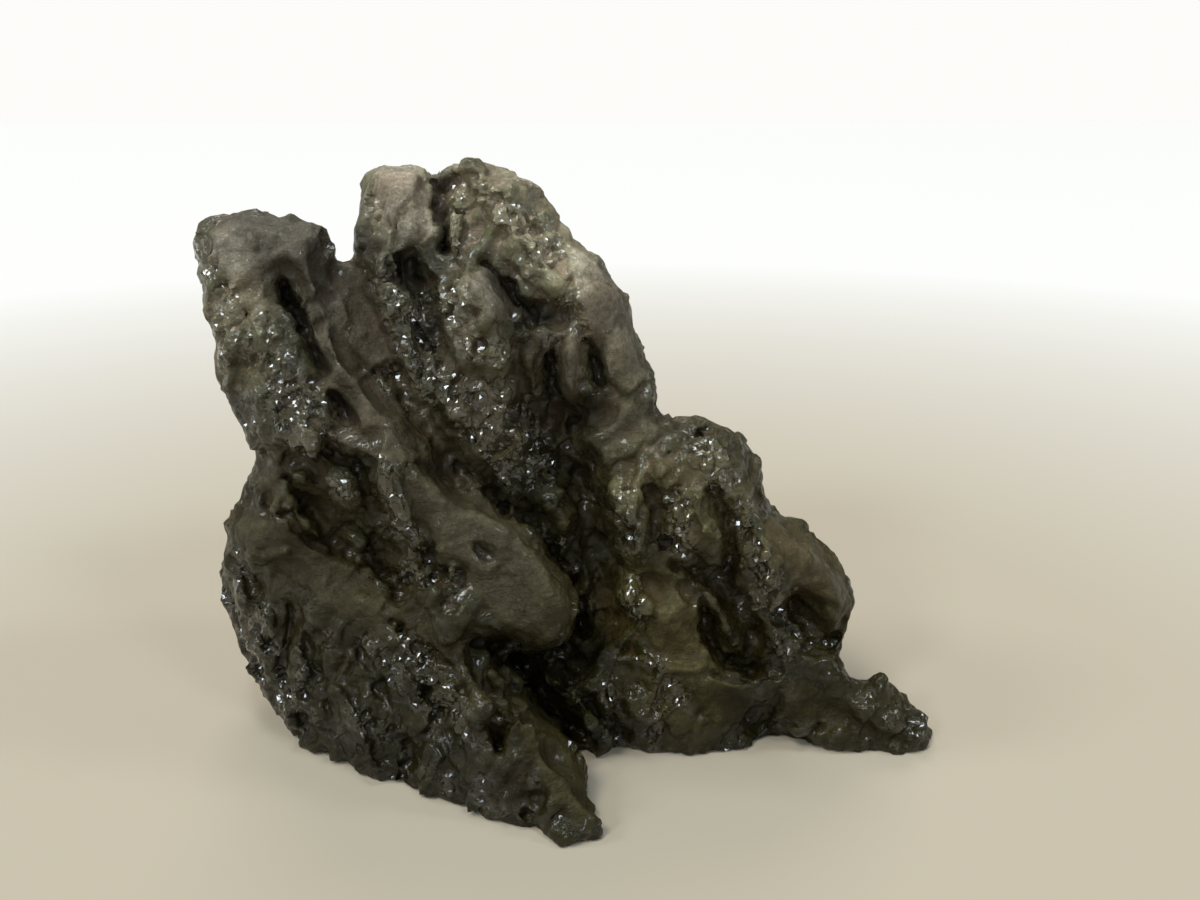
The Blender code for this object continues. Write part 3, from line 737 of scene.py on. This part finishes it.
def makeCrustTree():
    tree = bpy.data.node_groups.new("stoneCrust", "GeometryNodeTree")
    tree.is_modifier = True
    tree.interface.new_socket("Geometry", in_out="INPUT", socket_type="NodeSocketGeometry")
    for name in crustLook:
        tree.interface.new_socket(name, in_out="INPUT", socket_type="NodeSocketFloat")
    tree.interface.new_socket("Rock", in_out="INPUT", socket_type="NodeSocketMaterial")
    tree.interface.new_socket("Geometry", in_out="OUTPUT", socket_type="NodeSocketGeometry")
    given = addNode(tree, "NodeGroupInput", (-1400, 0))
    put = given.outputs

    place = addNode(tree, "GeometryNodeInputPosition", (-1400, 300))
    turned = addNode(tree, "ShaderNodeVectorRotate", (-1200, 300),
                     {"Vector": place.outputs[0], "Angle": put["Bed Slope"]},
                     rotation_type="Y_AXIS")
    parts = addNode(tree, "ShaderNodeSeparateXYZ", (-1000, 300), {0: turned.outputs[0]})
    def stretched(name, y):  # positions drawn out along the beds
        longer = addMath(tree, "DIVIDE", parts.outputs[0], put[name], (-850, y + 100))
        return addNode(tree, "ShaderNodeCombineXYZ", (-700, y),
                       {0: longer, 1: parts.outputs[1], 2: parts.outputs[2]}).outputs[0]

    bedded = stretched("Bed Stretch", 300)
    streaked = stretched("Streak Stretch", 100)

    def attribute(name, place):
        return addNode(tree, "GeometryNodeInputNamedAttribute", place, {"Name": name},
                       data_type="FLOAT").outputs[0]

    def texture(kind, name, seedStep, y, source, **settings):
        seed = addSum(tree, put["Seed"], seedStep, (-500, y - 150))
        scale = addMath(tree, "DIVIDE", 1.0, put[name + " Size"], (-500, y))
        return addNode(tree, kind, (-300, y), {"Vector": source, "W": seed, "Scale": scale},
                       **settings)

    def bumps(name, seedStep, y, source):  # round lumps
        node = texture("ShaderNodeTexVoronoi", name, seedStep, y, source,
                       voronoi_dimensions="4D", feature="SMOOTH_F1")
        value = addMath(tree, "SUBTRACT", 0.42, node.outputs["Distance"], (-100, y))
        return addTimes(tree, value, put[name + " Height"], (50, y))

    def waves(name, seedStep, y, source, creased=False):
        node = texture("ShaderNodeTexNoise", name, seedStep, y, source, noise_dimensions="4D")
        value = addMath(tree, "SUBTRACT", node.outputs[0], 0.5, (-100, y))
        if creased:  # rounded folds with sharp creases between them
            value = addMath(tree, "MULTIPLY_ADD", value, value, (-50, y), third=0.004)
            value = addMath(tree, "SQRT", value, None, (-20, y))
            value = addMath(tree, "SUBTRACT", value, 0.12, (0, y))
        return addTimes(tree, value, put[name + " Height"], (50, y))

    def tilted(name, y, seed, smoothness):
        scale = addMath(tree, "DIVIDE", 1.0, put[name + " Size"], (-500, y))
        value = addFacets(tree, bedded, scale, (-400, y), seed, smoothness)
        return addTimes(tree, value, put[name + " Tilt"], (150, y))

    worn, glint = attribute("worn", (-500, -500)), attribute("glint", (-500, -650))
    chips = tilted("Chip", 1500, 0.31, 0.25)
    facets = addTimes(tree, tilted("Facet", 1800, 0.77, 0.15), glint, (300, 1800))
    lumps = bumps("Lump", 0.0, 600, bedded)
    knobs = bumps("Knob", 9.0, 900, place.outputs[0])
    streaks = waves("Streak", 12.0, 1200, streaked)
    folds = waves("Fold", 3.0, 200, bedded, creased=True)
    grain = waves("Grain", 6.0, -200, place.outputs[0])
    calm = addTimes(tree, worn, put["Calm On Worn Faces"], (-300, -500))
    rough = addMath(tree, "SUBTRACT", 0.95, calm, (-100, -500), clamp=True)
    lively = addMath(tree, "MULTIPLY_ADD", glint, 0.45, (-100, -650), third=rough)
    raised = lumps
    for step, part in enumerate((folds, grain, streaks, chips, facets)):
        raised = addSum(tree, raised, part, (200 + 50 * step, 400))
    raised = addTimes(tree, raised, lively, (500, 200))
    knobShare = addMath(tree, "MULTIPLY_ADD", glint, 0.7, (100, -800), third=0.4)
    knobs = addTimes(tree, knobs, knobShare, (500, 500))
    knobRough = addSum(tree, rough, 0.25, (100, -950))
    knobs = addTimes(tree, knobs, knobRough, (600, 500))
    raised = addSum(tree, raised, knobs, (600, 200))
    normal = addNode(tree, "GeometryNodeInputNormal", (500, -100))
    push = addNode(tree, "ShaderNodeVectorMath", (700, 100),
                   {0: normal.outputs[0], "Scale": raised}, operation="SCALE")
    moved = addNode(tree, "GeometryNodeSetPosition", (900, 0),
                    {"Geometry": put["Geometry"], "Offset": push.outputs[0]})
    real = addNode(tree, "GeometryNodeRealizeInstances", (1100, 0), {0: moved.outputs[0]})
    finish = addNode(tree, "GeometryNodeSetMaterial", (1300, 0),
                     {"Geometry": real.outputs[0], "Material": put["Rock"]})
    addNode(tree, "NodeGroupOutput", (1500, 0), {0: finish.outputs[0]})
    return tree


def addCrust(thing, material):
    tree = makeCrustTree()
    crust = thing.modifiers.new("crust", "NODES")
    crust.node_group = tree
    for item in tree.interface.items_tree:
        if item.in_out == "INPUT" and item.name in crustLook:
            crust[item.identifier] = crustLook[item.name]
        elif item.in_out == "INPUT" and item.name == "Rock":
            crust[item.identifier] = material
    return bareMesh(thing, thing.name)


# wet rock

rockLook = {
    "deep": (0.026, 0.023, 0.009, 1),
    "damp": (0.054, 0.045, 0.021, 1),
    "wornDark": (0.034, 0.028, 0.013, 1),
    "wornPale": (0.074, 0.061, 0.034, 1),
    "rust": (0.060, 0.038, 0.018, 1),
    "hollow": (0.064, 0.046, 0.022, 1),
    "fleck": (0.17, 0.155, 0.12, 1),
    "mottleSize": 15 * mm,
    "rustSize": 31 * mm,
    "wornSize": 2.6 * mm,
    "gritSize": 0.9 * mm,
    "fleckSize": 1.5 * mm,
    "fleckAbove": 0.93,        # only cells with a value above this are pale
    "filmSize": 6 * mm,
    "grainSize": 1.6 * mm,
    "cragSize": 4.5 * mm,
    "ior": 1.27,
    "filmIor": 1.62,
    "filmRoughness": 0.12,
    "facetSize": 2.1 * mm,
    "facetTilt": 1.2,
}


def makeRock():
    material = bpy.data.materials.new("wet_rock")
    material.use_nodes = True
    tree = material.node_tree
    shader = tree.nodes["Principled BSDF"]
    shader.location = (1400, 0)
    shader.inputs["IOR"].default_value = rockLook["ior"]
    shader.inputs["Coat Roughness"].default_value = rockLook["filmRoughness"]
    shader.inputs["Coat IOR"].default_value = rockLook["filmIor"]
    link = tree.links.new

    def mix(factor, first, second, place, blend="MIX"):
        return addNode(tree, "ShaderNodeMix", place, {0: factor, 6: first, 7: second},
                       data_type="RGBA", blend_type=blend).outputs[2]

    def spread(value, low, high, newLow, newHigh, place):
        return addNode(tree, "ShaderNodeMapRange", place,
                       {0: value, 1: low, 2: high, 3: newLow, 4: newHigh}).outputs[0]

    def noise(size, place, detail=4.0, source=None, roughness=0.6, distortion=0.0):
        return addNode(tree, "ShaderNodeTexNoise", place, {
            "Vector": source or spot, "Scale": 1 / size, "Detail": detail,
            "Roughness": roughness, "Distortion": distortion}).outputs[0]

    def share(name, place):
        return addNode(tree, "ShaderNodeAttribute", place, attribute_name=name).outputs["Fac"]

    spot = addNode(tree, "ShaderNodeTexCoord", (-1600, 0)).outputs["Object"]
    slope = (0, -crustLook["Bed Slope"], 0)
    bed = addNode(tree, "ShaderNodeMapping", (-1400, -200),
                  {"Vector": spot, "Rotation": slope, "Scale": (0.35, 1, 1)}).outputs[0]
    worn, glint = share("worn", (-1400, 500)), share("glint", (-1400, 350))
    hollow = share("hollow", (-1400, 650))
    z = addNode(tree, "ShaderNodeSeparateXYZ", (-1400, 200), {0: spot}).outputs[2]

    # colour
    mottle = noise(rockLook["mottleSize"], (-1100, 300), 6, bed)
    fine = noise(rockLook["wornSize"], (-1100, 0), 6, None, 0.75)
    dampColour = mix(spread(mottle, 0.38, 0.62, 0, 1, (-900, 300)),
                     rockLook["deep"], rockLook["damp"], (-700, 300))
    wornColour = mix(spread(fine, 0.35, 0.65, 0, 1, (-900, 0)),
                     rockLook["wornDark"], rockLook["wornPale"], (-700, 0))
    edgeNoise = addMath(tree, "MULTIPLY_ADD", fine, 0.5, (-900, 500), third=worn)
    wornShare = spread(edgeNoise, 0.35, 0.95, 0, 1, (-700, 500))
    colour = mix(wornShare, dampColour, wornColour, (-500, 200))
    rustNoise = noise(rockLook["rustSize"], (-1100, -300), 5, bed)
    rustShare = spread(rustNoise, 0.52, 0.72, 0, 0.55, (-900, -300))
    colour = mix(rustShare, colour, rockLook["rust"], (-300, 200))
    flecks = addNode(tree, "ShaderNodeTexVoronoi", (-1100, -600),
                     {"Vector": spot, "Scale": 1 / rockLook["fleckSize"]})
    fleckCut = addNode(tree, "ShaderNodeSeparateColor", (-900, -600),
                       {0: flecks.outputs["Color"]})
    chosen = addMath(tree, "GREATER_THAN", fleckCut.outputs[0], rockLook["fleckAbove"],
                     (-700, -600))
    fleckShape = spread(flecks.outputs["Distance"], 0.1, 0.35, 0.5, 0, (-700, -750))
    fleckShare = addTimes(tree, chosen, fleckShape, (-500, -600))
    colour = mix(fleckShare, colour, rockLook["fleck"], (-100, 200))
    hollowShare = spread(hollow, 0.55, 0.9, 0, 0.8, (-300, 500))
    colour = mix(hollowShare, colour, rockLook["hollow"], (0, 200))

    # painted light and shade: lighter towards the top and on faces that look up, as light from
    # above, darker in hollows as painted shade and lighter on ridges, times the painted light and
    # shade of the tone share; a fine grit varies the colour
    heightTone = spread(z, 0.03, 0.20, 0.32, 1.15, (-900, 800))
    facing = addNode(tree, "ShaderNodeNewGeometry", (-1400, 1000))
    upward = addNode(tree, "ShaderNodeSeparateXYZ", (-1200, 1000),
                     {0: facing.outputs["Normal"]})
    skyTone = spread(upward.outputs[2], -0.1, 0.85, 0.8, 1.3, (-900, 1000))
    heightTone = addTimes(tree, heightTone, skyTone, (-800, 900))
    toneColour = addNode(tree, "ShaderNodeCombineColor", (-500, 800))
    hollowTone = spread(hollow, 0.2, 0.8, 1.18, 0.85, (-700, 900))
    tone = addTimes(tree, heightTone, hollowTone, (-700, 750))
    tone = addTimes(tree, tone, share("tone", (-1000, 1150)), (-600, 750))
    gritNoise = noise(rockLook["gritSize"], (-1000, 1300), 3, None, 0.7)
    grit = spread(gritNoise, 0.3, 0.7, 0.78, 1.22, (-800, 1300))
    tone = addTimes(tree, tone, grit, (-550, 800))
    for socket in toneColour.inputs:
        link(tone, socket)
    # greyer and bluer towards the top: partly the rock's own colour, partly a painted cool sheen of
    # the sky on the wet upper faces
    blue = spread(z, 0.03, 0.21, 0.5, 1.42, (-700, 1450))
    green = spread(z, 0.03, 0.21, 0.98, 1.06, (-700, 1600))
    link(addTimes(tree, tone, blue, (-520, 950)), toneColour.inputs[2])
    link(addTimes(tree, tone, green, (-520, 1100)), toneColour.inputs[1])
    colour = mix(1.0, colour, toneColour.outputs[0], (100, 300), "MULTIPLY")
    link(colour, shader.inputs["Base Color"])

    # gloss of the wet film
    film = noise(rockLook["filmSize"], (-300, -300), 4)
    dull = spread(film, 0.35, 0.65, 0.11, 0.24, (-300, -500))
    dull = addMath(tree, "MULTIPLY_ADD", wornShare, 0.28, (-100, -300), third=dull)
    gloss = addMath(tree, "MULTIPLY_ADD", glint, -0.07, (100, -300), third=dull)
    link(gloss, shader.inputs["Roughness"])
    wet = spread(film, 0.38, 0.6, 0.02, 0.26, (100, -500))
    wet = addMath(tree, "MULTIPLY_ADD", wornShare, -0.4, (300, -450), True, wet)
    sparkling = addTimes(tree, glint, 0.95, (300, -600))
    wet = addSum(tree, wet, sparkling, (450, -450), clamp=True)
    link(wet, shader.inputs["Coat Weight"])

    # fine relief
    grain = noise(rockLook["grainSize"], (300, -700), 4)
    crags = noise(rockLook["cragSize"], (300, -900), 6, bed, 0.7, 0.6)
    facets = addFacets(tree, bed, 1 / rockLook["facetSize"], (300, -1150))
    quiet = addMath(tree, "MULTIPLY_ADD", glint, -0.92, (300, -650), True, 1.0)
    grainMost = spread(wornShare, 0, 1, 0.25 * mm, 0.7 * mm, (300, -800))
    grainHeight = addTimes(tree, grain, grainMost, (500, -700))
    cragMost = spread(wornShare, 0, 1, 1.5 * mm, 1.3 * mm, (300, -1050))
    cragHeight = addTimes(tree, crags, cragMost, (500, -900))
    facetShare = addTimes(tree, wornShare, -0.4, (300, -1350))
    facetShare = addSum(tree, facetShare, 0.4, (400, -1350))
    sharper = addTimes(tree, glint, 0.6, (400, -1500))
    facetShare = addSum(tree, facetShare, sharper, (500, -1350), clamp=True)
    facetShare = addTimes(tree, facetShare, rockLook["facetTilt"], (600, -1350))
    facetHeight = addTimes(tree, facets, facetShare, (650, -1150))
    height = addSum(tree, grainHeight, cragHeight, (800, -800))
    height = addTimes(tree, height, quiet, (880, -850))
    height = addSum(tree, height, facetHeight, (950, -900))
    bump = addNode(tree, "ShaderNodeBump", (1150, -700),
                   {"Strength": 1.0, "Distance": 1.0, "Height": height})
    link(bump.outputs[0], shader.inputs["Normal"])
    return material


def makeStone():
    stone = copyOfSolid("stone_surface")
    mesh = reskin(stone, stoneLook["firstVoxel"], settle=2)
    print("stone: first skin", len(mesh.polygons), "faces")
    fillHollows(mesh)
    mesh = reskin(stone, stoneLook["firstVoxel"])
    carveFace(mesh)
    mesh = reskin(stone, stoneLook["secondVoxel"], settle=1)
    print("stone: second skin", len(mesh.polygons), "faces")
    paintStone(mesh)
    mesh = addCrust(stone, makeRock())
    rockMaterial = mesh.materials[0]
    thin = stone.modifiers.new("thin", "DECIMATE")
    loosen = stone.vertex_groups.new(name="unseen")
    u, v, ahead, sight = pictureView(pointsOf(mesh))
    unseen = 1 - shownShare(u, v, ahead, sight, neighbourMean(mesh, normalsOf(mesh), 3))
    steps = stoneLook["thinSteps"]
    level = np.floor(unseen * (steps - 0.001))
    for step in range(steps):
        weight = stoneLook["thinSeen"] + stoneLook["coarserBehind"] * step / (steps - 1)
        loosen.add(np.nonzero(level == step)[0].tolist(), weight, "REPLACE")
    thin.vertex_group = loosen.name
    thin.vertex_group_factor = 6.0
    thin.ratio = min(1.0, stoneLook["triangles"] / (2 * len(mesh.polygons)))
    thin.use_collapse_triangulate = True
    mesh = bareMesh(stone, stone.name)
    points = pointsOf(mesh)
    points[:, 2] = np.maximum(points[:, 2], -stoneLook["belowFloor"])
    putPoints(mesh, points)
    stone.vertex_groups.clear()
    mesh.materials.clear()
    mesh.materials.append(rockMaterial)
    glint = paintStone(mesh, wide=40)  # its edges are longer by now
    corners = np.empty(len(mesh.loops), dtype=np.int64)
    mesh.loops.foreach_get("vertex_index", corners)
    smooth = glint[corners.reshape(-1, 3)].mean(axis=1) < stoneLook["flatAbove"]
    mesh.polygons.foreach_set("use_smooth", smooth.tolist())
    print("stone: finished with", len(mesh.polygons), "triangles")
    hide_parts("stone")
    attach(stone, "root")
    return stone


stone = makeStone()


# floor, background and lights

studio = {
    "floorNear": (0.43, 0.375, 0.28, 1),
    "floorFar": (0.735, 0.712, 0.675, 1),
    "floorFade": (0.30, 1.30),          # metres from the stone
    "floorRoughness": 0.85,
    "floorSize": 16.0,
    "background": (0.98, 0.97, 0.95, 1),
    "backgroundSeen": 1.0,
    "backgroundLight": 0.16,
}

coolSky = (0.80, 0.90, 1.0)
lamps = {  # the way it shines, strength, width in degrees, colour
    "mainWindow": ((0.42, 0.50, -1.0), 1.45, 18, (1.0, 0.98, 0.93)),
    "backWindow": ((0.15, -0.55, -1.0), 0.75, 24, (1.0, 0.96, 0.90)),
    "glintFront": ((0.10, 1.0, -0.50), 0.42, 9, coolSky),
    "glintFrontLeft": ((0.75, 0.85, -0.75), 0.75, 10, coolSky),
    "glintFrontRight": ((-0.8, 0.8, -0.9), 0.52, 10, coolSky),
    "glintTop": ((0.05, 0.12, -1.0), 0.72, 10, coolSky),
    "glintLeft": ((1.0, 0.15, -0.9), 0.72, 10, coolSky),
    "glintRight": ((-1.0, 0.15, -0.85), 0.55, 10, coolSky),
}


def makeStudio():
    half = studio["floorSize"] / 2
    mesh = bpy.data.meshes.new("floor")
    corners = [(-half, -half, 0), (half, -half, 0), (half, half, 0), (-half, half, 0)]
    mesh.from_pydata(corners, [], [(0, 1, 2, 3)])
    floor = bpy.data.objects.new("floor", mesh)
    scene.collection.objects.link(floor)
    paint = bpy.data.materials.new("floor_paint")
    paint.use_nodes = True
    tree = paint.node_tree
    spot = addNode(tree, "ShaderNodeTexCoord", (-900, 0))
    away = addNode(tree, "ShaderNodeVectorMath", (-700, 0), {0: spot.outputs["Object"]},
                   operation="LENGTH")
    near, far = studio["floorFade"]
    fade = addNode(tree, "ShaderNodeMapRange", (-500, 0),
                   {"Value": away.outputs["Value"], "From Min": near, "From Max": far})
    tone = addNode(tree, "ShaderNodeMix", (-300, 0),
                   {0: fade.outputs[0], 6: studio["floorNear"], 7: studio["floorFar"]},
                   data_type="RGBA")
    shader = tree.nodes["Principled BSDF"]
    tree.links.new(tone.outputs[2], shader.inputs["Base Color"])
    shader.inputs["Roughness"].default_value = studio["floorRoughness"]
    mesh.materials.append(paint)
    for name, (aim, strength, width, colour) in lamps.items():
        light = bpy.data.lights.new(name, "SUN")
        light.energy = strength
        light.angle = math.radians(width)
        light.color = colour
        holder = bpy.data.objects.new(name, light)
        holder.rotation_euler = Vector(aim).to_track_quat("-Z", "Y").to_euler()
        scene.collection.objects.link(holder)
    world = bpy.data.worlds.new("studio")
    world.use_nodes = True
    scene.world = world
    tree = world.node_tree
    shown = tree.nodes["Background"]
    shown.inputs["Color"].default_value = studio["background"]
    shown.inputs["Strength"].default_value = studio["backgroundSeen"]
    lit = addNode(tree, "ShaderNodeBackground", (0, -150),
                  {"Color": studio["background"], "Strength": studio["backgroundLight"]})
    path = addNode(tree, "ShaderNodeLightPath", (-200, 200))
    blend = addNode(tree, "ShaderNodeMixShader", (300, 0),
                    {0: path.outputs["Is Camera Ray"], 1: lit.outputs[0], 2: shown.outputs[0]})
    tree.links.new(blend.outputs[0], tree.nodes["World Output"].inputs["Surface"])
    scene.view_settings.view_transform = "Standard"


makeStudio()
print("studio ready")
